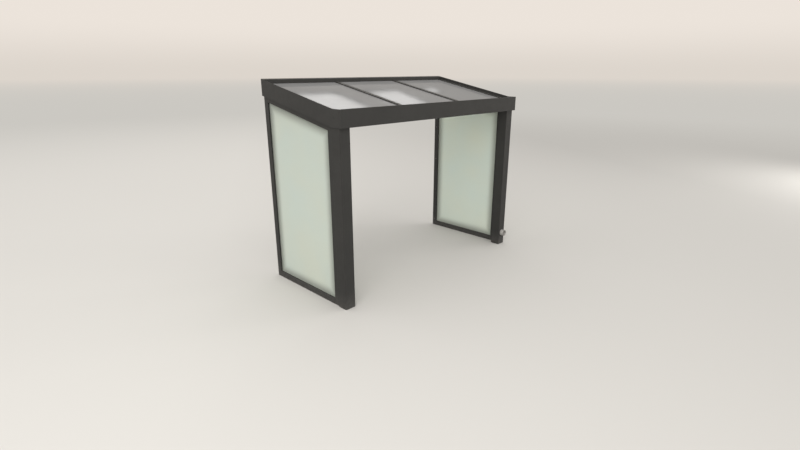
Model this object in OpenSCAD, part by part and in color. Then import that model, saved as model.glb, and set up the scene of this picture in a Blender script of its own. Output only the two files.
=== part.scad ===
// Lean-to patio roof of powder-coated aluminium with a glass roof and two frosted side walls.
// X runs along the gutter, Y runs from the gutter towards the house wall, Z is up.
// The origin is on the ground, under the middle of the whole roof.

/* [Overall size] */
// Distance between the outer faces of the two posts
roof_w = 3500; // [2800:50:4400]
// Depth from the front faces of the posts to the house wall
roof_d = 1560; // [1200:20:2400]
// Clear height under the gutter beam
clear_h = 2240; // [1900:20:2700]
// Fall of the roof in degrees
pitch = 11.5; // [6:0.5:18]

/* [Posts] */
// Side of the square post
post_side = 150; // [120:5:190]
// Wall thickness of the post
post_wall = 4; // [3:0.5:6]
// Radius of the post's upright edges
post_round = 5; // [4.5:0.5:10]

/* [Post feet] */
// Thickness of the foot's base plate
foot_plate_t = 8; // [6:1:12]
// Height of the foot's two upright cheeks above the plate
foot_cheek_h = 100; // [60:5:120]
// Thickness of the cheeks
foot_cheek_t = 6; // [4:1:10]
// Radius of the anchor holes in the plate
foot_hole_r = 6.5; // [5:0.5:8]
// Spacing of the anchor holes both ways
foot_hole_gap = 80; // [60:5:84]
// Play between the foot and the inside of the post, on each side
foot_play = 0.5; // [0.2:0.1:0.8]

/* [Gutter beam] */
// Height of the gutter beam
gutter_h = 208; // [170:2:260]
// How far the beam stands out in front of the posts
gutter_out = 40; // [20:5:60]
// Wall thickness of the beam
gutter_wall = 4; // [3:0.5:6]
// Height of the trough's floor above the beam's underside
trough_h = 80; // [60:5:100]
// Width of the lip that turns in along the trough's front edge
lip_w = 16; // [10:1:24]
// Thickness of the end caps on the beam and on the wall profile
cap_t = 4; // [2:0.5:6]
// How far the beam's end caps stand out past the posts
beam_out = 17; // [10:1:30]
// Distance from the beam's back to where the end cap's top edge starts to rise
knee_back = 55; // [40:5:70]
// Height of the seal between the beam's back wall and the glass
seal_h = 6; // [4:1:10]

/* [Rafters and side trims] */
// Width of a rafter
rafter_w = 60; // [50:2:80]
// Wall thickness of a rafter
rafter_wall = 3; // [2:0.5:4]
// Height of the side band, from the roof's top edge to the rafter's underside
band_h = 212; // [180:2:260]
// Depth of the glass surface below the roof's top edge
glass_sink = 52; // [40:2:64]
// Sheet thickness of the side trims
trim_t = 3; // [2:0.5:4]

/* [Roof glass and cover strips] */
// Thickness of the roof glass
roof_glass_t = 10; // [8:0.5:14]
// Gap between two panes, over a rafter
pane_gap = 20; // [14:1:26]
// How far the glass reaches over the gutter's trough
glass_over = 100; // [80:5:120]
// How far the glass reaches under the wall profile's hood
glass_tuck = 30; // [20:2:36]
// Distance from a side rafter's outer face to the edge of the glass
glass_side = 15; // [8:1:20]
// Width of a cover strip
strip_w = 60; // [50:2:80]
// Height of a cover strip above the glass
strip_h = 12; // [8:1:18]
// Thickness of the strip's web between the panes
strip_web = 8; // [5:1:10]
// Thickness of the hook at the strip's lower end, which holds the panes
hook_t = 4; // [3:0.5:6]

/* [Wall profile] */
// Depth of the wall profile
profile_d = 50; // [44:2:70]
// Thickness of the plate against the wall
profile_plate = 5; // [4:0.5:8]
// Thickness of the profile's hood, shelf and seat
profile_wall = 4; // [3:0.5:6]
// Radius of the wall anchors' holes
anchor_r = 6; // [4:0.5:8]
// Spacing of the wall anchors
anchor_gap = 580; // [540:5:600]

/* [Side walls] */
// Thickness of the side walls' frame
frame_t = 50; // [42:1:60]
// How far the frame stands in from the posts' outer faces
frame_inset = 10; // [4:1:14]
// Width of the upright stiles
stile_w = 80; // [66:2:100]
// Height of the bottom rail
bottom_rail_h = 80; // [66:2:100]
// Height of the top rail
top_rail_h = 65; // [54:1:80]
// Wall thickness of the frame's profiles
frame_wall = 2.5; // [2:0.5:4]
// Width of the groove that holds the glass
groove_w = 14; // [11:0.5:18]
// Depth of the groove
groove_d = 18; // [15:1:24]
// Thickness of the frosted glass
side_glass_t = 8.8; // [6:0.2:10.6]
// Play between the glass and the groove's floor at the top and sides
glass_play = 3; // [2:0.5:5]

/* [Rain drain] */
// Outer radius of the downpipe
pipe_r = 40; // [32:1:48]
// Wall thickness of the downpipe
pipe_wall = 2; // [1.5:0.5:3]
// Radius of the downpipe's bend
bend_r = 50; // [50:1:60]
// Width of the downpipe's rim in the trough
rim_w = 10; // [8:1:14]
// Thickness of the downpipe's rim
rim_t = 3; // [2:0.5:4]
// Outer radius of the outlet socket
outlet_r = 50; // [48:1:60]
// Wall thickness of the outlet socket
outlet_wall = 3; // [2:0.5:4]
// How far the outlet stands out in front of the post
outlet_len = 60; // [45:1:72]
// Height of the outlet's centre above the ground
outlet_h = 200; // [180:5:300]
// Thickness of the outlet's back ring, which lies on the post
outlet_ring = 4; // [3:0.5:6]
// Play round the downpipe where it passes through the beam and the post
pipe_play = 0.8; // [0.4:0.1:1.5]

/* [Hidden] */
$fn = 64;

frame_colour = "#41413f";
roof_glass_colour = "#949391";
side_glass_colour = "#bfc7bb";
seal_colour = "#1c1c1c";
pipe_colour = "#8a8783";
zinc_colour = "#a8aaab";

// small overlap that lets a cut run clear of a face
cut = 1;
// Y is measured from the posts' front faces and moved here, so that the whole roof is centred
front_y = -(roof_d - max(gutter_out, outlet_len)) / 2;

// places along X
post_x = roof_w / 2;
end_x = post_x + beam_out;
rafter_in_x = post_x - rafter_w;
bay_w = roof_w / 3;
rafter_x = bay_w / 2;
frame_out_x = post_x - frame_inset;
frame_in_x = frame_out_x - frame_t;
groove_in_x = frame_in_x + (frame_t - groove_w) / 2;
pipe_x = post_x - post_side / 2;

// places along Y
gutter_back = post_side;
knee_y = gutter_back - knee_back;
glass_front = gutter_back - glass_over;
hood_y = roof_d - profile_d;
plate_y = roof_d - profile_plate;
glass_back = hood_y + glass_tuck;
stile_y = roof_d - stile_w;
rail_y0 = gutter_back + stile_w;
pipe_y = post_side / 2;

// heights
beam_top = clear_h + gutter_h;
trough_z = clear_h + trough_h;
glass_drop = glass_sink + roof_glass_t;
back_wall_top = top_edge(gutter_back - gutter_wall) - glass_drop - seal_h;
anchor_z = top_edge(plate_y) - (glass_drop + band_h) / 2;

// height of the roof's sloping top edge at a distance y behind the posts' front faces
function top_edge(y) = beam_top + (y - knee_y) * tan(pitch);

// ---- shapes that several pieces share ----

module placed() translate([0, front_y, 0]) children();

module on_left() mirror([1, 0, 0]) children();

// bar from x[0] to x[1] and y[0] to y[1], between two depths below the roof's top edge
module sloped(x, y, drop)
    translate([x[0], 0, 0])
        rotate([90, 0, 90])
            linear_extrude(x[1] - x[0])
                polygon([
                    [y[0], top_edge(y[0]) - drop[1]], [y[1], top_edge(y[1]) - drop[1]],
                    [y[1], top_edge(y[1]) - drop[0]], [y[0], top_edge(y[0]) - drop[0]]
                ]);

module block(x, y, z)
    translate([x[0], y[0], z[0]])
        cube([x[1] - x[0], y[1] - y[0], z[1] - z[0]]);

module rounded_square(side, r)
    union() {
        translate([r, 0]) square([side - 2 * r, side]);
        translate([0, r]) square([side, side - 2 * r]);
        for (x = [r, side - r], y = [r, side - r])
            translate([x, y]) circle(r);
    }

// section of a frame profile with one glazing groove along its upper edge
module groove_section(h)
    difference() {
        square([frame_t, h]);
        translate([(frame_t - groove_w) / 2, h - groove_d])
            square([groove_w, groove_d + cut]);
        difference() {
            translate([frame_wall, frame_wall])
                square([frame_t - 2 * frame_wall, h - 2 * frame_wall]);
            translate([(frame_t - groove_w) / 2 - frame_wall, h - groove_d - frame_wall])
                square([groove_w + 2 * frame_wall, groove_d + 2 * frame_wall]);
        }
    }

// ---- posts and their feet ----

module post_tube()
    translate([post_x - post_side, 0, 0])
        linear_extrude(clear_h)
            difference() {
                rounded_square(post_side, post_round);
                translate([post_wall, post_wall])
                    rounded_square(post_side - 2 * post_wall, post_round - post_wall);
            }

module left_post() color(frame_colour) placed() on_left() post_tube();

module right_post()
    color(frame_colour) placed()
        difference() {
            post_tube();
            translate([pipe_x, post_wall + cut, outlet_h])
                rotate([90, 0, 0])
                    cylinder(h = post_wall + 2 * cut, r = pipe_r + pipe_play);
        }

module foot() {
    side = post_side - 2 * (post_wall + foot_play);
    x0 = pipe_x - side / 2;
    y0 = pipe_y - side / 2;
    difference() {
        block([x0, x0 + side], [y0, y0 + side], [0, foot_plate_t]);
        for (x = [-1, 1], y = [-1, 1])
            translate([pipe_x + x * foot_hole_gap / 2, pipe_y + y * foot_hole_gap / 2, -cut])
                cylinder(h = foot_plate_t + 2 * cut, r = foot_hole_r);
    }
    for (x = [x0, x0 + side - foot_cheek_t])
        block([x, x + foot_cheek_t], [y0, y0 + side], [foot_plate_t, foot_plate_t + foot_cheek_h]);
}

module left_post_foot() color(zinc_colour) placed() on_left() foot();

module right_post_foot() color(zinc_colour) placed() foot();

// ---- gutter beam ----

module gutter_beam()
    color(frame_colour) placed()
        difference() {
            translate([-end_x + cap_t, 0, 0])
                rotate([90, 0, 90])
                    linear_extrude(2 * (end_x - cap_t))
                        union() {
                            // front wall, back wall, underside, trough floor and front lip
                            translate([-gutter_out, clear_h]) square([gutter_wall, gutter_h]);
                            translate([gutter_back - gutter_wall, clear_h])
                                square([gutter_wall, back_wall_top - clear_h]);
                            translate([-gutter_out, clear_h])
                                square([gutter_back + gutter_out, gutter_wall]);
                            translate([-gutter_out, trough_z - gutter_wall])
                                square([gutter_back + gutter_out, gutter_wall]);
                            translate([-gutter_out, beam_top - gutter_wall])
                                square([lip_w, gutter_wall]);
                        }
            translate([pipe_x, pipe_y, clear_h - cut])
                cylinder(h = trough_h + 2 * cut, r = pipe_r + pipe_play);
        }

module gutter_cap()
    translate([end_x - cap_t, 0, 0])
        rotate([90, 0, 90])
            linear_extrude(cap_t)
                polygon([
                    [-gutter_out, clear_h], [gutter_back, clear_h],
                    [gutter_back, top_edge(gutter_back)], [knee_y, beam_top], [-gutter_out, beam_top]
                ]);

module gutter_left_cap() color(frame_colour) placed() on_left() gutter_cap();

module gutter_right_cap() color(frame_colour) placed() gutter_cap();

module gutter_seal() {
    y = [gutter_back - gutter_wall, gutter_back];
    color(seal_colour) placed()
        translate([-end_x + cap_t, 0, 0])
            rotate([90, 0, 90])
                linear_extrude(2 * (end_x - cap_t))
                    polygon([
                        [y[0], back_wall_top], [y[1], back_wall_top],
                        [y[1], top_edge(y[1]) - glass_drop], [y[0], top_edge(y[0]) - glass_drop]
                    ]);
}

// ---- wall profile ----

module wall_profile() {
    x = [-end_x + cap_t, end_x - cap_t];
    color(frame_colour) placed()
        difference() {
            union() {
                sloped(x, [plate_y, roof_d], [0, band_h]);
                sloped(x, [hood_y, plate_y], [0, profile_wall]);
                sloped(x, [hood_y, hood_y + profile_wall], [0, glass_sink]);
                sloped(x, [hood_y, plate_y], [glass_drop, glass_drop + profile_wall]);
                sloped(x, [hood_y, plate_y], [band_h - profile_wall, band_h]);
            }
            for (i = [-2.5:2.5])
                translate([i * anchor_gap, roof_d + cut, anchor_z])
                    rotate([90, 0, 0])
                        cylinder(h = profile_plate + 2 * cut, r = anchor_r);
        }
}

module profile_cap() sloped([end_x - cap_t, end_x], [hood_y, roof_d], [0, band_h]);

module wall_profile_left_cap() color(frame_colour) placed() on_left() profile_cap();

module wall_profile_right_cap() color(frame_colour) placed() profile_cap();

// ---- rafters ----

// hollow rafter whose upper end is notched to slide between the wall profile's shelf and seat
module rafter(x0) {
    x = [x0, x0 + rafter_w];
    x_cut = [x0 - cut, x0 + rafter_w + cut];
    y_end = [hood_y, roof_d];
    difference() {
        sloped(x, [gutter_back, plate_y], [glass_drop, band_h]);
        sloped(
            [x[0] + rafter_wall, x[1] - rafter_wall], [gutter_back - cut, plate_y + cut],
            [glass_drop + rafter_wall, band_h - rafter_wall]
        );
        sloped(x_cut, y_end, [glass_drop - cut, glass_drop + profile_wall]);
        sloped(x_cut, y_end, [band_h - profile_wall, band_h + cut]);
    }
}

module left_side_rafter() color(frame_colour) placed() on_left() rafter(rafter_in_x);

module right_side_rafter() color(frame_colour) placed() rafter(rafter_in_x);

module left_middle_rafter() color(frame_colour) placed() rafter(-rafter_x - rafter_w / 2);

module right_middle_rafter() color(frame_colour) placed() rafter(rafter_x - rafter_w / 2);

// ---- side trims, which clad the side rafters and hold the outer edges of the glass ----

module side_trim() {
    y = [gutter_back, hood_y];
    y_inner = [glass_front, hood_y];
    drop = glass_sink - strip_h;
    // outer web, which stands up round the glass, and lower flange
    sloped([end_x - trim_t, end_x], y, [0, band_h]);
    sloped([post_x, end_x - trim_t], y, [band_h - trim_t, band_h]);
    // ledge over the edge of the glass, which runs forward inside the gutter's end cap
    sloped([rafter_in_x, end_x - trim_t], y, [drop, drop + trim_t]);
    sloped([rafter_in_x, end_x - cap_t], y_inner, [drop, drop + trim_t]);
    // inner leg, which stands on the glass
    sloped([rafter_in_x, rafter_in_x + trim_t], y_inner, [drop, glass_sink]);
}

module left_side_trim() color(frame_colour) placed() on_left() side_trim();

module right_side_trim() color(frame_colour) placed() side_trim();

// ---- cover strips over the middle rafters ----

module cover_strip(x) {
    y = [glass_front, hood_y];
    sloped([x - strip_w / 2, x + strip_w / 2], y, [glass_sink - strip_h, glass_sink]);
    sloped(
        [x - strip_web / 2, x + strip_web / 2], [gutter_back, hood_y],
        [glass_sink - strip_h, glass_drop]
    );
    sloped(
        [x - strip_w / 2, x + strip_w / 2], [glass_front - hook_t, glass_front],
        [glass_sink - strip_h, glass_drop]
    );
}

module left_cover_strip() color(frame_colour) placed() cover_strip(-rafter_x);

module right_cover_strip() color(frame_colour) placed() cover_strip(rafter_x);

// ---- roof glass ----

module roof_pane(x) sloped(x, [glass_front, glass_back], [glass_sink, glass_drop]);

module left_roof_glass() color(roof_glass_colour) placed() on_left() side_pane();

module right_roof_glass() color(roof_glass_colour) placed() side_pane();

module side_pane() roof_pane([rafter_x + pane_gap / 2, post_x - glass_side]);

module middle_roof_glass()
    color(roof_glass_colour) placed()
        roof_pane([-rafter_x + pane_gap / 2, rafter_x - pane_gap / 2]);

// ---- side walls ----

module bottom_rail()
    translate([frame_in_x, stile_y, 0])
        rotate([90, 0, 0])
            linear_extrude(stile_y - rail_y0)
                groove_section(bottom_rail_h);

module top_rail() {
    y = [rail_y0, stile_y];
    y_cut = [rail_y0 - cut, stile_y + cut];
    low = band_h + top_rail_h;
    groove_out_x = groove_in_x + groove_w;
    difference() {
        sloped([frame_in_x, frame_out_x], y, [band_h, low]);
        sloped([groove_in_x, groove_out_x], y_cut, [low - groove_d, low + cut]);
        // the chamber above the groove and one beside it on each side
        sloped(
            [frame_in_x + frame_wall, frame_out_x - frame_wall], y_cut,
            [band_h + frame_wall, low - groove_d - frame_wall]
        );
        for (x = [[frame_in_x + frame_wall, groove_in_x - frame_wall],
                  [groove_out_x + frame_wall, frame_out_x - frame_wall]])
            sloped(x, y_cut, [low - groove_d - frame_wall - cut, low - frame_wall]);
    }
}

// upright stile that starts at y0; its groove faces the house wall, or the posts when turned
module stile(y0, turned)
    difference() {
        translate([frame_in_x, y0, 0])
            linear_extrude(beam_top + roof_d)
                if (turned)
                    translate([0, stile_w]) mirror([0, 1]) groove_section(stile_w);
                else
                    groove_section(stile_w);
        sloped(
            [frame_in_x - cut, frame_out_x + cut], [y0 - cut, y0 + stile_w + cut],
            [-2 * roof_d - beam_top, band_h]
        );
    }

// the pane stands on the floor of the bottom rail's groove
module side_glass() {
    edge = groove_d - glass_play;
    y = [rail_y0 - edge, stile_y + edge];
    top_drop = band_h + top_rail_h - edge;
    translate([frame_in_x + (frame_t - side_glass_t) / 2, 0, 0])
        rotate([90, 0, 90])
            linear_extrude(side_glass_t)
                polygon([
                    [y[0], bottom_rail_h - groove_d], [y[1], bottom_rail_h - groove_d],
                    [y[1], top_edge(y[1]) - top_drop], [y[0], top_edge(y[0]) - top_drop]
                ]);
}

module left_wall_bottom_rail() color(frame_colour) placed() on_left() bottom_rail();

module left_wall_top_rail() color(frame_colour) placed() on_left() top_rail();

module left_wall_front_stile() color(frame_colour) placed() on_left() stile(gutter_back, false);

module left_wall_back_stile() color(frame_colour) placed() on_left() stile(stile_y, true);

module left_wall_glass() color(side_glass_colour) placed() on_left() side_glass();

module right_wall_bottom_rail() color(frame_colour) placed() bottom_rail();

module right_wall_top_rail() color(frame_colour) placed() top_rail();

module right_wall_front_stile() color(frame_colour) placed() stile(gutter_back, false);

module right_wall_back_stile() color(frame_colour) placed() stile(stile_y, true);

module right_wall_glass() color(side_glass_colour) placed() side_glass();

// ---- rain drain inside the right post ----

// pipe from the rim in the trough down to a bend and out through the post's front wall
module downpipe()
    color(pipe_colour) placed()
        translate([pipe_x, pipe_y, 0]) {
            translate([0, 0, outlet_h + bend_r])
                linear_extrude(trough_z - outlet_h - bend_r)
                    difference() {
                        circle(pipe_r);
                        circle(pipe_r - pipe_wall);
                    }
            translate([0, 0, trough_z])
                linear_extrude(rim_t)
                    difference() {
                        circle(pipe_r + rim_w);
                        circle(pipe_r - pipe_wall);
                    }
            translate([0, -bend_r, outlet_h + bend_r])
                rotate([0, 90, 0])
                    rotate_extrude(angle = 90)
                        translate([bend_r, 0])
                            difference() {
                                circle(pipe_r);
                                circle(pipe_r - pipe_wall);
                            }
            translate([0, -bend_r, outlet_h])
                rotate([90, 0, 0])
                    linear_extrude(pipe_y - bend_r + outlet_ring)
                        difference() {
                            circle(pipe_r);
                            circle(pipe_r - pipe_wall);
                        }
        }

// socket with a back ring round the downpipe's end
module drain_outlet()
    color(pipe_colour) placed()
        translate([pipe_x, 0, outlet_h])
            rotate([90, 0, 0]) {
                linear_extrude(outlet_ring)
                    difference() {
                        circle(outlet_r);
                        circle(pipe_r + pipe_play);
                    }
                translate([0, 0, outlet_ring])
                    linear_extrude(outlet_len - outlet_ring)
                        difference() {
                            circle(outlet_r);
                            circle(outlet_r - outlet_wall);
                        }
            }

left_post();
right_post();
left_post_foot();
right_post_foot();
gutter_beam();
gutter_left_cap();
gutter_right_cap();
gutter_seal();
wall_profile();
wall_profile_left_cap();
wall_profile_right_cap();
left_side_rafter();
right_side_rafter();
left_middle_rafter();
right_middle_rafter();
left_side_trim();
right_side_trim();
left_cover_strip();
right_cover_strip();
left_roof_glass();
middle_roof_glass();
right_roof_glass();
left_wall_bottom_rail();
left_wall_top_rail();
left_wall_front_stile();
left_wall_back_stile();
left_wall_glass();
right_wall_bottom_rail();
right_wall_top_rail();
right_wall_front_stile();
right_wall_back_stile();
right_wall_glass();
downpipe();
drain_outlet();
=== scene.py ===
import math
import bmesh
import bpy
from mathutils import Matrix, Vector


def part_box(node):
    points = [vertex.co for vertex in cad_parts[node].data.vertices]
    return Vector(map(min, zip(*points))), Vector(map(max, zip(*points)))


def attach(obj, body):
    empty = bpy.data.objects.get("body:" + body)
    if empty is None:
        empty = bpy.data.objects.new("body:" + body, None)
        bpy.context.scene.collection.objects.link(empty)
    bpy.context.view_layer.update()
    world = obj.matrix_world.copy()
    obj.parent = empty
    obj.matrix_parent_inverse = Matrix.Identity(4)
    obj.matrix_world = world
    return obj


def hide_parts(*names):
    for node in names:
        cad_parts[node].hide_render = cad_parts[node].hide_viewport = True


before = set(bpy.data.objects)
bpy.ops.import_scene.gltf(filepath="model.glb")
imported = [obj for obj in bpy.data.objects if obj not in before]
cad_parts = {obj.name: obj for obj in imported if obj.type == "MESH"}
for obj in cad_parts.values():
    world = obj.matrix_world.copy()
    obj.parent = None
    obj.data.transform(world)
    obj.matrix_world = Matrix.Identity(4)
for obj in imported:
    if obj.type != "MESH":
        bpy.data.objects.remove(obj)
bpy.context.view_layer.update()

print("frame loaded:", len(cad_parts), "nodes")


# ---- small helpers ----

def linkObject(name, mesh):
    piece = bpy.data.objects.new(name, mesh)
    bpy.context.scene.collection.objects.link(piece)
    return piece


def fromBmesh(name, shape):
    mesh = bpy.data.meshes.new(name)
    shape.to_mesh(mesh)
    shape.free()
    return linkObject(name, mesh)


def bakeModifiers(piece):
    # the evaluated shape becomes a plain mesh and the modifiers go
    depsgraph = bpy.context.evaluated_depsgraph_get()
    mesh = bpy.data.meshes.new_from_object(piece.evaluated_get(depsgraph))
    piece.modifiers.clear()
    piece.data = mesh
    return piece


def smoothShade(piece, degrees=32):
    mesh = piece.data
    mesh.polygons.foreach_set("use_smooth", [True] * len(mesh.polygons))
    mesh.set_sharp_from_angle(angle=math.radians(degrees))
    mesh.update()


def addNode(nodes, kind, **values):
    node = nodes.new(kind)
    for key, value in values.items():
        setattr(node, key, value)
    return node


# ---- sizes read from the frame ----

def corners(node):
    low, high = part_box(node)
    return low, high


roofGlassLow, roofGlassHigh = corners("middle_roof_glass")
sideGlassLow, sideGlassHigh = corners("right_wall_glass")
gutterLow, gutterHigh = corners("gutter_beam")
profileLow, profileHigh = corners("wall_profile")
paneThickness = 0.010
roofSlope = (roofGlassHigh.z - roofGlassLow.z - paneThickness) / (roofGlassHigh.y - roofGlassLow.y)
roofAngle = math.atan(roofSlope)


def glassTop(y):
    return roofGlassHigh.z - roofSlope * (roofGlassHigh.y - y)


# ---- camera ----

cameraLook = {
    "place": (-5.131, -5.028, 2.869),
    "heading": -45.375,      # degrees about Z
    "tilt": 72.081,          # degrees from straight down
    "lens": 21.755,
    "sensor": 36.0,
}

cameraData = bpy.data.cameras.new("camera")
cameraData.lens = cameraLook["lens"]
cameraData.sensor_width = cameraLook["sensor"]
cameraData.clip_end = 500
camera = bpy.data.objects.new("camera", cameraData)
camera.location = cameraLook["place"]
camera.rotation_euler = (math.radians(cameraLook["tilt"]), 0, math.radians(cameraLook["heading"]))
bpy.context.scene.collection.objects.link(camera)
bpy.context.scene.camera = camera
bpy.context.scene.view_settings.view_transform = "Standard"
print("camera set")


# ---- floor, background and lamps ----

studio = {
    "floorSize": 400,
    "floorNear": (0.615, 0.600, 0.572),
    "floorFar": (0.597, 0.578, 0.540),
    "floorBounce": 0.62,
    "floorEven": (-3.0, 9.0, 1.10, 0.78),
    "hazeNear": 9.0,
    "hazeFar": 30.0,
    "skyLow": (0.720, 0.665, 0.605),
    "skyHigh": (0.835, 0.770, 0.705),
    "ambient": 1.04,
    "lampWhite": (1.0, 0.985, 0.965),
}

# soft lamps: place, target, diameter and power
lamps = {
    "keyLamp": ((-9.0, -6.0, 7.5), (-1.0, -1.0, 0.8), 7.0, 330),
    "fillLamp": ((4.0, -12.0, 5.0), (0, 0, 1.3), 7.0, 60),
    "sideLamp": ((12.5, -7.5, 1.6), (1.7, 0, 1.3), 3.0, 560),
}

# softboxes over the roof that the glass mirrors: the corners of each one's picture on the glass
# (front left, front right, back right, back left) and how bright it is
softboxes = {
    "softboxLeft": (((-2.00, -0.80), (-1.04, -0.80), (-0.96, 0.29), (-1.76, 0.29)), 4.3),
    "softboxMiddle": (((-0.80, -0.80), (-0.01, -0.80), (0.18, 0.28), (-0.54, 0.28)), 4.3),
    "softboxRight": (((0.58, -0.06), (0.90, -0.06), (0.98, 0.26), (0.66, 0.26)), 3.2),
}
softboxHeight = 4.0
softboxFade = 0.24


def backgroundRays(nodes, links):
    # 1 for rays that see the background straight, mirrored or through glass
    path = nodes.new("ShaderNodeLightPath")
    glossy = addNode(nodes, "ShaderNodeMath", operation="MAXIMUM")
    links.new(path.outputs["Is Camera Ray"], glossy.inputs[0])
    links.new(path.outputs["Is Glossy Ray"], glossy.inputs[1])
    through = addNode(nodes, "ShaderNodeMath", operation="MAXIMUM")
    links.new(glossy.outputs[0], through.inputs[0])
    links.new(path.outputs["Is Transmission Ray"], through.inputs[1])
    return through.outputs[0]


def buildWorld():
    world = bpy.data.worlds.new("studio")
    bpy.context.scene.world = world
    world.use_nodes = True
    nodes, links = world.node_tree.nodes, world.node_tree.links
    nodes.clear()
    coord = nodes.new("ShaderNodeTexCoord")
    split = nodes.new("ShaderNodeSeparateXYZ")
    links.new(coord.outputs["Generated"], split.inputs[0])
    height = addNode(nodes, "ShaderNodeMapRange", interpolation_type="SMOOTHSTEP")
    height.inputs["From Min"].default_value = -0.01
    height.inputs["From Max"].default_value = 0.08
    links.new(split.outputs["Z"], height.inputs["Value"])
    sky = addNode(nodes, "ShaderNodeMix", data_type="RGBA")
    sky.inputs["A"].default_value = (*studio["skyLow"], 1)
    sky.inputs["B"].default_value = (*studio["skyHigh"], 1)
    links.new(height.outputs["Result"], sky.inputs["Factor"])
    seen = nodes.new("ShaderNodeBackground")
    links.new(sky.outputs["Result"], seen.inputs["Color"])
    lit = nodes.new("ShaderNodeBackground")
    lit.inputs["Color"].default_value = (1, 0.985, 0.965, 1)
    lit.inputs["Strength"].default_value = studio["ambient"]
    mix = nodes.new("ShaderNodeMixShader")
    links.new(backgroundRays(nodes, links), mix.inputs["Fac"])
    links.new(lit.outputs[0], mix.inputs[1])
    links.new(seen.outputs[0], mix.inputs[2])
    out = nodes.new("ShaderNodeOutputWorld")
    links.new(mix.outputs[0], out.inputs["Surface"])


def floorMaterial():
    material = bpy.data.materials.new("studioFloor")
    material.use_nodes = True
    nodes, links = material.node_tree.nodes, material.node_tree.links
    nodes.clear()
    coord = nodes.new("ShaderNodeTexCoord")
    reach = addNode(nodes, "ShaderNodeVectorMath", operation="LENGTH")
    links.new(coord.outputs["Object"], reach.inputs[0])
    haze = addNode(nodes, "ShaderNodeMapRange", interpolation_type="SMOOTHSTEP")
    haze.inputs["From Min"].default_value = studio["hazeNear"]
    haze.inputs["From Max"].default_value = studio["hazeFar"]
    links.new(reach.outputs["Value"], haze.inputs["Value"])
    tint = addNode(nodes, "ShaderNodeMix", data_type="RGBA")
    tint.inputs["B"].default_value = (*studio["floorFar"], 1)
    links.new(haze.outputs["Result"], tint.inputs["Factor"])
    # a little darker towards the side lamp, which evens out its light
    across = addNode(nodes, "ShaderNodeVectorMath", operation="DOT_PRODUCT")
    across.inputs[1].default_value = (0.86, -0.51, 0)
    links.new(coord.outputs["Object"], across.inputs[0])
    even = addNode(nodes, "ShaderNodeMapRange")
    for label, value in zip(("From Min", "From Max", "To Min", "To Max"), studio["floorEven"]):
        even.inputs[label].default_value = value
    links.new(across.outputs["Value"], even.inputs["Value"])
    evenTint = addNode(nodes, "ShaderNodeVectorMath", operation="SCALE")
    evenTint.inputs[0].default_value = studio["floorNear"]
    links.new(even.outputs["Result"], evenTint.inputs["Scale"])
    links.new(evenTint.outputs[0], tint.inputs["A"])
    horizon = addNode(nodes, "ShaderNodeMapRange", interpolation_type="SMOOTHSTEP")
    horizon.inputs["From Min"].default_value = studio["hazeFar"]
    horizon.inputs["From Max"].default_value = studio["floorSize"] * 0.45
    links.new(reach.outputs["Value"], horizon.inputs["Value"])
    farTint = addNode(nodes, "ShaderNodeMix", data_type="RGBA")
    farTint.inputs["B"].default_value = (*studio["skyLow"], 1)
    links.new(tint.outputs["Result"], farTint.inputs["A"])
    links.new(horizon.outputs["Result"], farTint.inputs["Factor"])
    # near the object the floor is a lit surface that takes its shadow; further off it is plain colour
    path = nodes.new("ShaderNodeLightPath")
    bounce = addNode(nodes, "ShaderNodeMapRange")
    bounce.inputs["To Min"].default_value = studio["floorBounce"]
    links.new(path.outputs["Is Camera Ray"], bounce.inputs["Value"])
    litTint = addNode(nodes, "ShaderNodeVectorMath", operation="SCALE")
    links.new(farTint.outputs["Result"], litTint.inputs[0])
    links.new(bounce.outputs["Result"], litTint.inputs["Scale"])
    lit = nodes.new("ShaderNodeBsdfDiffuse")
    links.new(litTint.outputs[0], lit.inputs["Color"])
    plain = nodes.new("ShaderNodeEmission")
    links.new(farTint.outputs["Result"], plain.inputs["Color"])
    mix = nodes.new("ShaderNodeMixShader")
    links.new(haze.outputs["Result"], mix.inputs["Fac"])
    links.new(lit.outputs[0], mix.inputs[1])
    links.new(plain.outputs[0], mix.inputs[2])
    out = nodes.new("ShaderNodeOutputMaterial")
    links.new(mix.outputs[0], out.inputs["Surface"])
    return material


def buildStage():
    half = studio["floorSize"] / 2
    shape = bmesh.new()
    verts = [shape.verts.new((x * half, y * half, 0)) for x, y in ((-1, -1), (1, -1), (1, 1), (-1, 1))]
    shape.faces.new(verts)
    floor = fromBmesh("floor", shape)
    floor.data.materials.append(floorMaterial())


def softLamp(name, place, target, size, power):
    data = bpy.data.lights.new(name, "AREA")
    data.shape = "DISK"
    data.size = size
    data.energy = power
    data.color = studio["lampWhite"]
    lamp = bpy.data.objects.new(name, data)
    lamp.location = place
    lamp.rotation_euler = (Vector(target) - Vector(place)).to_track_quat("-Z", "Y").to_euler()
    lamp.visible_glossy = False
    bpy.context.scene.collection.objects.link(lamp)


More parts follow.
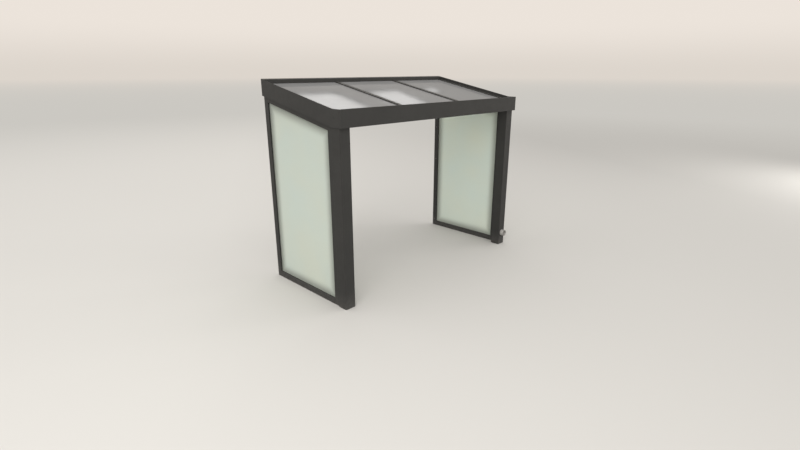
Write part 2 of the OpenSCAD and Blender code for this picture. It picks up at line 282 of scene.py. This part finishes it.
def softboxMaterial(name, brightness):
    # brightest in the middle, fading towards the cloth's edges
    material = bpy.data.materials.new(name)
    material.use_nodes = True
    nodes, links = material.node_tree.nodes, material.node_tree.links
    nodes.clear()
    coord = nodes.new("ShaderNodeTexCoord")
    split = nodes.new("ShaderNodeSeparateXYZ")
    links.new(coord.outputs["UV"], split.inputs[0])
    strength = None
    for axis in ("X", "Y"):
        fold = addNode(nodes, "ShaderNodeMath", operation="PINGPONG")
        fold.inputs[1].default_value = 0.5
        links.new(split.outputs[axis], fold.inputs[0])
        ramp = addNode(nodes, "ShaderNodeMapRange", interpolation_type="SMOOTHSTEP")
        ramp.inputs["From Max"].default_value = softboxFade
        links.new(fold.outputs[0], ramp.inputs["Value"])
        step = addNode(nodes, "ShaderNodeMath", operation="MULTIPLY")
        step.inputs[1].default_value = brightness
        links.new(ramp.outputs["Result"], step.inputs[0])
        if strength:
            links.new(strength, step.inputs[1])
        strength = step.outputs[0]
    glow = nodes.new("ShaderNodeEmission")
    glow.inputs["Color"].default_value = (*studio["lampWhite"], 1)
    links.new(strength, glow.inputs["Strength"])
    out = nodes.new("ShaderNodeOutputMaterial")
    links.new(glow.outputs[0], out.inputs["Surface"])
    return material


def softbox(name, picture, brightness):
    # hangs parallel to the glass, where someone at the camera's place sees it mirrored as that picture
    normal = Vector((0, -math.sin(roofAngle), math.cos(roofAngle)))
    eye = Vector(cameraLook["place"])
    eyeHeight = (eye - Vector((0, 0, glassTop(0)))).dot(normal)
    mirroredEye = eye - 2 * eyeHeight * normal
    reach = (softboxHeight + eyeHeight) / eyeHeight
    shape = bmesh.new()
    verts = []
    for x, y in picture:
        onGlass = Vector((x, y, glassTop(y)))
        verts.append(shape.verts.new(mirroredEye + (onGlass - mirroredEye) * reach))
    face = shape.faces.new(verts)
    uvLayer = shape.loops.layers.uv.new("cloth")
    for loop, place in zip(face.loops, ((0, 0), (1, 0), (1, 1), (0, 1))):
        loop[uvLayer].uv = place
    box = fromBmesh(name, shape)
    box.data.materials.append(softboxMaterial(name + "Cloth", brightness))
    for ray in ("camera", "diffuse", "transmission", "shadow", "volume_scatter"):
        setattr(box, "visible_" + ray, False)


buildWorld()
buildStage()
for lampName, (place, target, size, power) in lamps.items():
    softLamp(lampName, place, target, size, power)
for boxName, (picture, brightness) in softboxes.items():
    softbox(boxName, picture, brightness)
print("stage and lamps built")


# ---- finishes ----

coatLook = {
    "colour": (0.038, 0.0375, 0.0355),
    # painted highlight: the rounded edges get this lighter colour
    "edgeColour": (0.062, 0.061, 0.058),
    "dustColour": (0.20, 0.19, 0.175),
    "roughness": 0.52,
    "grainScale": 1500,
    "grainDepth": 0.00012,
}


def startMaterial(name):
    material = bpy.data.materials.new(name)
    material.use_nodes = True
    nodes, links = material.node_tree.nodes, material.node_tree.links
    nodes.clear()
    shader = nodes.new("ShaderNodeBsdfPrincipled")
    out = nodes.new("ShaderNodeOutputMaterial")
    links.new(shader.outputs[0], out.inputs["Surface"])
    coord = nodes.new("ShaderNodeTexCoord")
    return material, nodes, links, shader, coord.outputs["Object"]


def noiseField(nodes, links, coord, scale, detail=2.0, roughness=0.5):
    noise = nodes.new("ShaderNodeTexNoise")
    noise.inputs["Scale"].default_value = scale
    noise.inputs["Detail"].default_value = detail
    noise.inputs["Roughness"].default_value = roughness
    links.new(coord, noise.inputs["Vector"])
    return noise.outputs["Fac"]


def spread(nodes, links, value, low, high, fromLow=0.3, fromHigh=0.7):
    ranged = nodes.new("ShaderNodeMapRange")
    ranged.inputs["From Min"].default_value = fromLow
    ranged.inputs["From Max"].default_value = fromHigh
    ranged.inputs["To Min"].default_value = low
    ranged.inputs["To Max"].default_value = high
    links.new(value, ranged.inputs["Value"])
    return ranged.outputs["Result"]


def mixColour(nodes, links, factor, first, second):
    mix = addNode(nodes, "ShaderNodeMix", data_type="RGBA")
    for socket, value in ((mix.inputs["A"], first), (mix.inputs["B"], second)):
        if isinstance(value, tuple):
            socket.default_value = (*value, 1)
        else:
            links.new(value, socket)
    links.new(factor, mix.inputs["Factor"])
    return mix.outputs["Result"]


def mixShaders(nodes, links, share, first, second):
    mix = nodes.new("ShaderNodeMixShader")
    mix.inputs["Fac"].default_value = share
    links.new(first.outputs[0], mix.inputs[1])
    links.new(second.outputs[0], mix.inputs[2])
    return mix


def showShader(nodes, links, shader):
    out = next(node for node in nodes if node.type == "OUTPUT_MATERIAL")
    links.new(shader.outputs[0], out.inputs["Surface"])


def grainBump(nodes, links, height, depth, shader, strength=1.0):
    bump = nodes.new("ShaderNodeBump")
    bump.inputs["Distance"].default_value = depth
    bump.inputs["Strength"].default_value = strength
    links.new(height, bump.inputs["Height"])
    links.new(bump.outputs["Normal"], shader.inputs["Normal"])


def shade(colour, factor):
    return tuple(channel * factor for channel in colour)


def powderCoat(name, colour, roughness):
    material, nodes, links, shader, coord = startMaterial(name)
    # fine texture of the baked powder, faint cloudiness, and a little dust close to the ground
    cloud = noiseField(nodes, links, coord, 2.3, 3.0)
    base = mixColour(nodes, links, spread(nodes, links, cloud, 0, 1), shade(colour, 0.93), shade(colour, 1.08))
    fleck = noiseField(nodes, links, coord, 700, 2.0)
    base = mixColour(nodes, links, spread(nodes, links, fleck, 0, 0.35, 0.55, 0.75), base, shade(colour, 1.5))
    split = nodes.new("ShaderNodeSeparateXYZ")
    links.new(coord, split.inputs[0])
    lowness = spread(nodes, links, split.outputs["Z"], 0.30, 0.0, 0.0, 0.22)
    drift = addNode(nodes, "ShaderNodeMath", operation="MULTIPLY")
    links.new(lowness, drift.inputs[0])
    links.new(spread(nodes, links, noiseField(nodes, links, coord, 26, 4.0), 0.25, 1.0), drift.inputs[1])
    base = mixColour(nodes, links, drift.outputs[0], base, coatLook["dustColour"])
    links.new(base, shader.inputs["Base Color"])
    shader.inputs["Specular IOR Level"].default_value = 0.32
    smear = noiseField(nodes, links, coord, 9, 3.0)
    links.new(spread(nodes, links, smear, roughness - 0.05, roughness + 0.06), shader.inputs["Roughness"])
    grain = noiseField(nodes, links, coord, coatLook["grainScale"], 2.0, 0.6)
    grainBump(nodes, links, grain, coatLook["grainDepth"], shader)
    return material


frostLook = {
    "centre": (0.845, 0.885, 0.815),
    "cool": (0.820, 0.885, 0.840),
    # painted shade: the colour next to the frame, and how far in from the frame it reaches
    "edge": (0.520, 0.550, 0.500),
    "edgeReach": 0.17,
    "roughness": 0.38,
    "glow": 0.5,
}


def frostedGlass():
    # satin laminated glass; painted shade darkens its colour softly towards the frame, where no light enters from
    # behind
    material, nodes, links, shader, coord = startMaterial("frostedGlass")
    split = nodes.new("ShaderNodeSeparateXYZ")
    links.new(coord, split.inputs[0])
    y, z = split.outputs["Y"], split.outputs["Z"]

    def distance(socket, factor, offset):
        node = addNode(nodes, "ShaderNodeMath", operation="MULTIPLY_ADD")
        node.inputs[1].default_value = factor
        node.inputs[2].default_value = offset
        links.new(socket, node.inputs[0])
        return node.outputs[0]

    def smallest(first, second):
        node = addNode(nodes, "ShaderNodeMath", operation="MINIMUM")
        links.new(first, node.inputs[0])
        links.new(second, node.inputs[1])
        return node.outputs[0]

    topAtZero = sideGlassHigh.z - roofSlope * sideGlassHigh.y
    slopeDrop = addNode(nodes, "ShaderNodeMath", operation="SUBTRACT")
    links.new(distance(y, roofSlope, topAtZero), slopeDrop.inputs[0])
    links.new(z, slopeDrop.inputs[1])
    nearest = smallest(distance(y, 1, -sideGlassLow.y), distance(y, -1, sideGlassHigh.y))
    nearest = smallest(nearest, distance(z, 1, -sideGlassLow.z))
    nearest = smallest(nearest, slopeDrop.outputs[0])
    # painted shade mask: 0 at the frame, 1 where the painted shade has faded out
    paintedShadeFade = addNode(nodes, "ShaderNodeMapRange", interpolation_type="SMOOTHERSTEP")
    paintedShadeFade.inputs["From Min"].default_value = 0.0
    paintedShadeFade.inputs["From Max"].default_value = frostLook["edgeReach"]
    links.new(nearest, paintedShadeFade.inputs["Value"])
    cloud = spread(nodes, links, noiseField(nodes, links, coord, 1.6, 2.0), 0, 1)
    body = mixColour(nodes, links, cloud, frostLook["cool"], frostLook["centre"])
    # the pane's colour darkened by the painted shade near the frame
    colour = mixColour(nodes, links, paintedShadeFade.outputs["Result"], frostLook["edge"], body)
    links.new(colour, shader.inputs["Base Color"])
    shader.inputs["Roughness"].default_value = frostLook["roughness"]
    shader.inputs["Specular IOR Level"].default_value = 0.35
    speckle = noiseField(nodes, links, coord, 2600, 2.0, 0.6)
    grainBump(nodes, links, speckle, 0.00005, shader, 0.6)
    glow = nodes.new("ShaderNodeBsdfTranslucent")
    links.new(colour, glow.inputs["Color"])
    showShader(nodes, links, mixShaders(nodes, links, frostLook["glow"], shader, glow))
    return material


roofGlassLook = {
    "colour": (0.322, 0.320, 0.318),
    "roughness": 0.045,
    "gloss": 0.12,
    "glow": 0.3,
}


def greyRoofGlass():
    # matt grey laminated glass: it scatters most of the light and mirrors a little of it softly
    material, nodes, links, shader, coord = startMaterial("greyRoofGlass")
    colour = roofGlassLook["colour"]
    cloud = spread(nodes, links, noiseField(nodes, links, coord, 1.2, 2.0), 0, 1)
    body = mixColour(nodes, links, cloud, shade(colour, 0.96), shade(colour, 1.04))
    links.new(body, shader.inputs["Base Color"])
    shader.inputs["Roughness"].default_value = 0.5
    shader.inputs["Specular IOR Level"].default_value = 0.0
    glow = nodes.new("ShaderNodeBsdfTranslucent")
    glow.inputs["Color"].default_value = (*shade(colour, 1.5), 1)
    mirror = nodes.new("ShaderNodeBsdfAnisotropic")
    film = noiseField(nodes, links, coord, 5, 3.0)
    rough = roofGlassLook["roughness"]
    links.new(spread(nodes, links, film, rough * 0.7, rough * 1.4), mirror.inputs["Roughness"])
    matt = mixShaders(nodes, links, roofGlassLook["glow"], shader, glow)
    showShader(nodes, links, mixShaders(nodes, links, roofGlassLook["gloss"], matt, mirror))
    return material


def sealRubber():
    material, nodes, links, shader, coord = startMaterial("sealRubber")
    bloom = noiseField(nodes, links, coord, 60, 4.0)
    links.new(mixColour(nodes, links, spread(nodes, links, bloom, 0, 1), (0.012, 0.012, 0.012), (0.026, 0.026, 0.025)),
              shader.inputs["Base Color"])
    shader.inputs["Roughness"].default_value = 0.62
    grainBump(nodes, links, noiseField(nodes, links, coord, 1400, 2.0), 0.00008, shader)
    return material


def zincSteel(name="zincSteel"):
    material, nodes, links, shader, coord = startMaterial(name)
    spangle = nodes.new("ShaderNodeTexVoronoi")
    spangle.inputs["Scale"].default_value = 95
    links.new(coord, spangle.inputs["Vector"])
    links.new(mixColour(nodes, links, spread(nodes, links, spangle.outputs["Distance"], 0, 1, 0.0, 0.8),
                        (0.33, 0.34, 0.35), (0.50, 0.51, 0.52)), shader.inputs["Base Color"])
    shader.inputs["Metallic"].default_value = 0.9
    links.new(spread(nodes, links, noiseField(nodes, links, coord, 40, 3.0), 0.34, 0.5), shader.inputs["Roughness"])
    return material


def stainlessSteel():
    material, nodes, links, shader, coord = startMaterial("stainlessSteel")
    links.new(mixColour(nodes, links, spread(nodes, links, noiseField(nodes, links, coord, 300, 2.0), 0, 1),
                        (0.42, 0.42, 0.41), (0.55, 0.55, 0.54)), shader.inputs["Base Color"])
    shader.inputs["Metallic"].default_value = 1.0
    links.new(spread(nodes, links, noiseField(nodes, links, coord, 900, 2.0), 0.26, 0.4), shader.inputs["Roughness"])
    return material


def greyPlastic():
    material, nodes, links, shader, coord = startMaterial("greyPlastic")
    cloud = noiseField(nodes, links, coord, 30, 3.0)
    links.new(mixColour(nodes, links, spread(nodes, links, cloud, 0, 1), (0.420, 0.405, 0.385), (0.480, 0.465, 0.440)),
              shader.inputs["Base Color"])
    links.new(spread(nodes, links, noiseField(nodes, links, coord, 120, 2.0), 0.38, 0.5), shader.inputs["Roughness"])
    grainBump(nodes, links, noiseField(nodes, links, coord, 900, 2.0), 0.00006, shader)
    return material


coatFace = powderCoat("powderCoat", coatLook["colour"], coatLook["roughness"])
# the rounded edges' lighter coat is a painted highlight along them
coatEdgeHighlight = powderCoat("powderCoatEdgeHighlight", coatLook["edgeColour"], coatLook["roughness"] - 0.1)
frosted = frostedGlass()
roofGlassFinish = greyRoofGlass()
rubber = sealRubber()
zinc = zincSteel()
stainless = stainlessSteel()
plastic = greyPlastic()
print("finishes ready")


# ---- metal pieces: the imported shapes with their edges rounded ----

edges = {
    "weld": 0.00002,          # points this close are one point
    "flatAngle": 0.4,         # degrees between faces that lie in one plane
    "bevelAngle": 28.0,       # degrees above which an edge is rounded
    "profileRadius": 0.0010,
    "plateRadius": 0.0008,
    "glassRadius": 0.0012,
}


def cleanCopy(nodeName, pieceName):
    shape = bmesh.new()
    shape.from_mesh(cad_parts[nodeName].data)
    bmesh.ops.remove_doubles(shape, verts=shape.verts, dist=edges["weld"])
    bmesh.ops.dissolve_limit(shape, angle_limit=math.radians(edges["flatAngle"]),
                             verts=shape.verts, edges=shape.edges)
    return fromBmesh(pieceName, shape)


def roundEdges(piece, radius, faceMaterial, edgeMaterial, segments=2):
    piece.data.materials.clear()
    piece.data.materials.append(faceMaterial)
    piece.data.materials.append(edgeMaterial)
    for polygon in piece.data.polygons:
        polygon.material_index = 0
    bevel = piece.modifiers.new("edges", "BEVEL")
    bevel.width = radius
    bevel.segments = segments
    bevel.limit_method = "ANGLE"
    bevel.angle_limit = math.radians(edges["bevelAngle"])
    bevel.material = 1
    bakeModifiers(piece)
    smoothShade(piece, 40)
    # the large flat faces keep their own direction; only the rounded edges turn the light
    level = piece.modifiers.new("level", "WEIGHTED_NORMAL")
    level.weight = 100
    level.keep_sharp = True
    return bakeModifiers(piece)


def finishNode(nodeName, radius, faceMaterial, edgeMaterial, cutter=None):
    piece = cleanCopy(nodeName, nodeName + "_finish")
    if cutter:
        boolean = piece.modifiers.new("holes", "BOOLEAN")
        boolean.operation = "DIFFERENCE"
        boolean.object = cutter
        boolean.solver = "EXACT"
        bakeModifiers(piece)
    roundEdges(piece, radius, faceMaterial, edgeMaterial)
    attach(piece, "root")
    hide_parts(nodeName)
    return piece


profileNodes = [
    "gutter_beam", "wall_profile", "left_side_rafter", "right_side_rafter", "left_middle_rafter",
    "right_middle_rafter", "left_side_trim", "right_side_trim", "left_cover_strip", "right_cover_strip",
    "left_post", "right_post",
]
profileNodes += [
    f"{side}_wall_{part}" for side in ("left", "right")
    for part in ("bottom_rail", "top_rail", "front_stile", "back_stile")
]
plateNodes = ["gutter_left_cap", "gutter_right_cap", "wall_profile_left_cap", "wall_profile_right_cap"]

# recessed screw places on the end caps, as (y, z)
capX = gutterHigh.x + 0.004
hoodTop = glassTop(0.785) + 0.052
capScrews = {
    "radius": 0.0085, "rise": 0.0012, "sunk": 0.0003, "socket": 0.0034, "depth": 0.0010,
    "recess": 0.0018, "bore": 0.0110, "seed": 3, "finish": rubber,
    "places": ((-0.668, 2.348), (-0.772, 2.405), (0.785, hoodTop - 0.045), (0.785, hoodTop - 0.165)),
}


def capBores(name, sign):
    shape = bmesh.new()
    for y, z in capScrews["places"]:
        place = Matrix.Translation((sign * capX, y, z)) @ Matrix.Rotation(math.pi / 2, 4, "Y")
        bmesh.ops.create_cone(shape, cap_ends=True, segments=32, radius1=capScrews["bore"],
                              radius2=capScrews["bore"], depth=2 * capScrews["recess"], matrix=place)
    return fromBmesh(name, shape)


for name in profileNodes:
    finishNode(name, edges["profileRadius"], coatFace, coatEdgeHighlight)
for name in plateNodes:
    bores = capBores(name + "_bores", -1 if "left" in name else 1)
    finishNode(name, edges["plateRadius"], coatFace, coatEdgeHighlight, bores)
    bpy.data.objects.remove(bores)
print("metal pieces finished")

for name in ("left_roof_glass", "middle_roof_glass", "right_roof_glass"):
    finishNode(name, edges["glassRadius"], roofGlassFinish, roofGlassFinish)
for name in ("left_wall_glass", "right_wall_glass"):
    finishNode(name, edges["glassRadius"], frosted, frosted)
for name in ("left_post_foot", "right_post_foot"):
    finishNode(name, edges["plateRadius"], zinc, zinc)
for name in ("downpipe", "drain_outlet"):
    finishNode(name, edges["plateRadius"], plastic, plastic)
finishNode("gutter_seal", 0.0005, rubber, rubber)
print("glass, feet and drain finished")


# screws and rubber seals, placed and swept by node trees


def newTree(name, inputs):
    tree = bpy.data.node_groups.new(name, "GeometryNodeTree")
    tree.interface.new_socket("Geometry", in_out="INPUT", socket_type="NodeSocketGeometry")
    for label, kind in inputs:
        tree.interface.new_socket(label, in_out="INPUT", socket_type=kind)
    tree.interface.new_socket("Geometry", in_out="OUTPUT", socket_type="NodeSocketGeometry")
    return tree, tree.nodes.new("NodeGroupInput"), tree.nodes.new("NodeGroupOutput")


def runTree(piece, tree, values):
    modifier = piece.modifiers.new(tree.name, "NODES")
    modifier.node_group = tree
    for item in tree.interface.items_tree:
        if item.in_out == "INPUT" and item.name in values:
            modifier[item.identifier] = values[item.name]
    bakeModifiers(piece)


def ridesRoot(piece):
    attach(piece, "root")


def finishTree(tree, start, end, geometry):
    # smooth faces, then the material that the modifier names
    smooth = tree.nodes.new("GeometryNodeSetShadeSmooth")
    smooth.inputs["Shade Smooth"].default_value = True
    finish = tree.nodes.new("GeometryNodeSetMaterial")
    tree.links.new(geometry, smooth.inputs["Geometry"])
    tree.links.new(smooth.outputs[0], finish.inputs["Geometry"])
    tree.links.new(start.outputs["Finish"], finish.inputs["Material"])
    tree.links.new(finish.outputs[0], end.inputs["Geometry"])


def screwTree():
    # one head on every point, its axis along the point's aim and its socket turned at random
    tree, start, end = newTree("screwHeads", (
        ("Head", "NodeSocketObject"), ("Seed", "NodeSocketInt"), ("Finish", "NodeSocketMaterial")))
    nodes, links = tree.nodes, tree.links
    aim = addNode(nodes, "GeometryNodeInputNamedAttribute", data_type="FLOAT_VECTOR")
    aim.inputs["Name"].default_value = "aim"
    align = addNode(nodes, "FunctionNodeAlignRotationToVector", axis="Z")
    links.new(aim.outputs["Attribute"], align.inputs["Vector"])
    angle = addNode(nodes, "FunctionNodeRandomValue", data_type="FLOAT")
    angleIn = {socket.identifier: socket for socket in angle.inputs}
    angleIn["Max_001"].default_value = math.tau
    links.new(start.outputs["Seed"], angleIn["Seed"])
    spin = nodes.new("FunctionNodeAxisAngleToRotation")
    spin.inputs["Axis"].default_value = (0, 0, 1)
    angleOut = next(socket for socket in angle.outputs if socket.enabled and socket.type == "VALUE")
    links.new(angleOut, spin.inputs["Angle"])
    turn = addNode(nodes, "FunctionNodeRotateRotation", rotation_space="LOCAL")
    links.new(align.outputs["Rotation"], turn.inputs["Rotation"])
    links.new(spin.outputs["Rotation"], turn.inputs["Rotate By"])
    head = nodes.new("GeometryNodeObjectInfo")
    links.new(start.outputs["Head"], head.inputs["Object"])
    place = nodes.new("GeometryNodeInstanceOnPoints")
    links.new(start.outputs["Geometry"], place.inputs["Points"])
    links.new(head.outputs["Geometry"], place.inputs["Instance"])
    links.new(turn.outputs["Rotation"], place.inputs["Rotation"])
    real = nodes.new("GeometryNodeRealizeInstances")
    links.new(place.outputs["Instances"], real.inputs["Geometry"])
    finishTree(tree, start, end, real.outputs["Geometry"])
    return tree


def sweepTree():
    # a round rubber bead along every chain of edges
    tree, start, end = newTree("rubberBeads", (
        ("Radius", "NodeSocketFloat"), ("Sides", "NodeSocketInt"), ("Finish", "NodeSocketMaterial")))
    nodes, links = tree.nodes, tree.links
    path = nodes.new("GeometryNodeMeshToCurve")
    links.new(start.outputs["Geometry"], path.inputs["Mesh"])
    ring = nodes.new("GeometryNodeCurvePrimitiveCircle")
    links.new(start.outputs["Radius"], ring.inputs["Radius"])
    links.new(start.outputs["Sides"], ring.inputs["Resolution"])
    sweep = nodes.new("GeometryNodeCurveToMesh")
    sweep.inputs["Fill Caps"].default_value = True
    links.new(path.outputs["Curve"], sweep.inputs["Curve"])
    links.new(ring.outputs["Curve"], sweep.inputs["Profile Curve"])
    real = nodes.new("GeometryNodeRealizeInstances")
    links.new(sweep.outputs["Mesh"], real.inputs["Geometry"])
    finishTree(tree, start, end, real.outputs["Geometry"])
    return tree


screwHeads = screwTree()
rubberBeads = sweepTree()


def headShape(name, look):
    # turned head with a hexagon socket; rings run from the rim under the surface to the socket's floor
    radius, rise, socket = look["radius"], look["rise"], look["socket"]
    count = 24

    def hexagon(angle):
        return socket / math.cos((angle % (math.pi / 3)) - math.pi / 6)

    rings = [
        (lambda angle: radius, -look["sunk"]),
        (lambda angle: radius, rise * 0.25),
        (lambda angle: radius * 0.95, rise * 0.6),
        (lambda angle: radius * 0.78, rise * 0.93),
        (lambda angle: radius * 0.66, rise),
        (hexagon, rise),
        (hexagon, rise - look["depth"]),
    ]
    shape = bmesh.new()
    rows = []
    for reach, height in rings:
        angles = [math.tau * step / count for step in range(count)]
        rows.append([
            shape.verts.new((reach(angle) * math.cos(angle), reach(angle) * math.sin(angle), height))
            for angle in angles
        ])
    for lower, upper in zip(rows, rows[1:]):
        for step in range(count):
            after = (step + 1) % count
            shape.faces.new((lower[step], lower[after], upper[after], upper[step]))
    shape.faces.new(list(reversed(rows[0])))
    shape.faces.new(rows[-1])
    return fromBmesh(name, shape)


def placeScrews(name, look, places):
    # places: point on the surface and the direction the head faces
    head = headShape(name + "Head", look)
    mesh = bpy.data.meshes.new(name)
    mesh.from_pydata([point for point, aim in places], [], [])
    attribute = mesh.attributes.new("aim", "FLOAT_VECTOR", "POINT")
    for entry, (point, aim) in zip(attribute.data, places):
        entry.vector = aim
    screws = linkObject(name, mesh)
    runTree(screws, screwHeads, {"Head": head, "Seed": look["seed"], "Finish": look["finish"]})
    bpy.data.objects.remove(head)
    screws.data.set_sharp_from_angle(angle=math.radians(35))
    ridesRoot(screws)


def placeBeads(name, look, chains, closed=False):
    mesh = bpy.data.meshes.new(name)
    verts, links = [], []
    for chain in chains:
        first = len(verts)
        verts += chain
        links += [(first + step, first + step + 1) for step in range(len(chain) - 1)]
        if closed:
            links.append((first + len(chain) - 1, first))
    mesh.from_pydata(verts, links, [])
    beads = linkObject(name, mesh)
    runTree(beads, rubberBeads, {"Radius": look["radius"], "Sides": look["sides"], "Finish": rubber})
    ridesRoot(beads)


roofUp = Vector((0, -math.sin(roofAngle), math.cos(roofAngle)))
stripTop = corners("left_cover_strip")[1].z - glassTop(corners("left_cover_strip")[1].y)
hoodY = corners("right_side_trim")[1].y
ledgeX = corners("right_side_rafter")[0].x

# pan-head screws along the cover strips and the side ledges, about every 300 mm
stripScrews = {
    "radius": 0.0042, "rise": 0.0021, "sunk": 0.0006, "socket": 0.0015, "depth": 0.0012,
    "rows": (-0.60, -0.30, 0.0, 0.30, 0.60), "seed": 7, "finish": stainless,
}
places = []
for x in (-0.5833, 0.5833, -ledgeX - 0.042, ledgeX + 0.042):
    for y in stripScrews["rows"]:
        places.append(((x, y, glassTop(y) + stripTop), tuple(roofUp)))
placeScrews("strip_screws", stripScrews, places)

# frame screws in the side walls' stiles, on the side towards the covered passage
stileScrews = {
    "radius": 0.0048, "rise": 0.0018, "sunk": 0.0006, "socket": 0.0017, "depth": 0.0011,
    "heights": (0.12, 0.70, 1.28, 1.86, 2.10), "seed": 19, "finish": stainless,
}
places = []
for side, sign in (("left", -1), ("right", 1)):
    for part in ("front_stile", "back_stile"):
        low, high = corners(f"{side}_wall_{part}")
        faceX = high.x if sign < 0 else low.x
        for z in stileScrews["heights"]:
            places.append(((faceX, (low.y + high.y) / 2, z), (-sign, 0, 0)))
placeScrews("stile_screws", stileScrews, places)

# recessed screws that hold the end caps of the gutter and of the wall profile
places = []
for sign in (-1, 1):
    for y, z in capScrews["places"]:
        places.append(((sign * (capX - capScrews["recess"]), y, z), (sign, 0, 0)))
placeScrews("cap_screws", capScrews, places)
print("screws placed")

# wedge seals round both faces of each frosted pane
paneSeals = {"radius": 0.0018, "sides": 10, "offset": 0.0013}
chains = []
for side in ("left", "right"):
    glassLow, glassHigh = corners(f"{side}_wall_glass")
    front = corners(f"{side}_wall_front_stile")[1].y
    back = corners(f"{side}_wall_back_stile")[0].y
    sill = corners(f"{side}_wall_bottom_rail")[1].z
    headLow = corners(f"{side}_wall_top_rail")[0]
    headFront = headLow.z + roofSlope * (front - headLow.y)
    headBack = headLow.z + roofSlope * (back - headLow.y)
    for x in (glassLow.x - paneSeals["offset"], glassHigh.x + paneSeals["offset"]):
        chains.append([(x, front, sill), (x, back, sill), (x, back, headBack), (x, front, headFront)])
placeBeads("pane_seals", paneSeals, chains, closed=True)

# lips of rubber where the strips, ledges, hood and rafters meet the roof glass
roofSeals = {"radius": 0.0018, "sides": 8, "lift": 0.0004}
glassFront = roofGlassLow.y
edgesX = [-ledgeX, ledgeX]
for low, high in (corners("left_cover_strip"), corners("right_cover_strip")):
    edgesX += [low.x, high.x]
chains = []
for x in edgesX:
    upper = [(x, y, glassTop(y) + roofSeals["lift"]) for y in (glassFront + 0.004, hoodY)]
    under = [(x, y, glassTop(y) - paneThickness - roofSeals["lift"]) for y in (gutterHigh.y, hoodY)]
    chains += [upper, under]
chains.append([(x, hoodY, glassTop(hoodY) + roofSeals["lift"]) for x in (-ledgeX, ledgeX)])
placeBeads("roof_seals", roofSeals, chains)
print("seals placed")
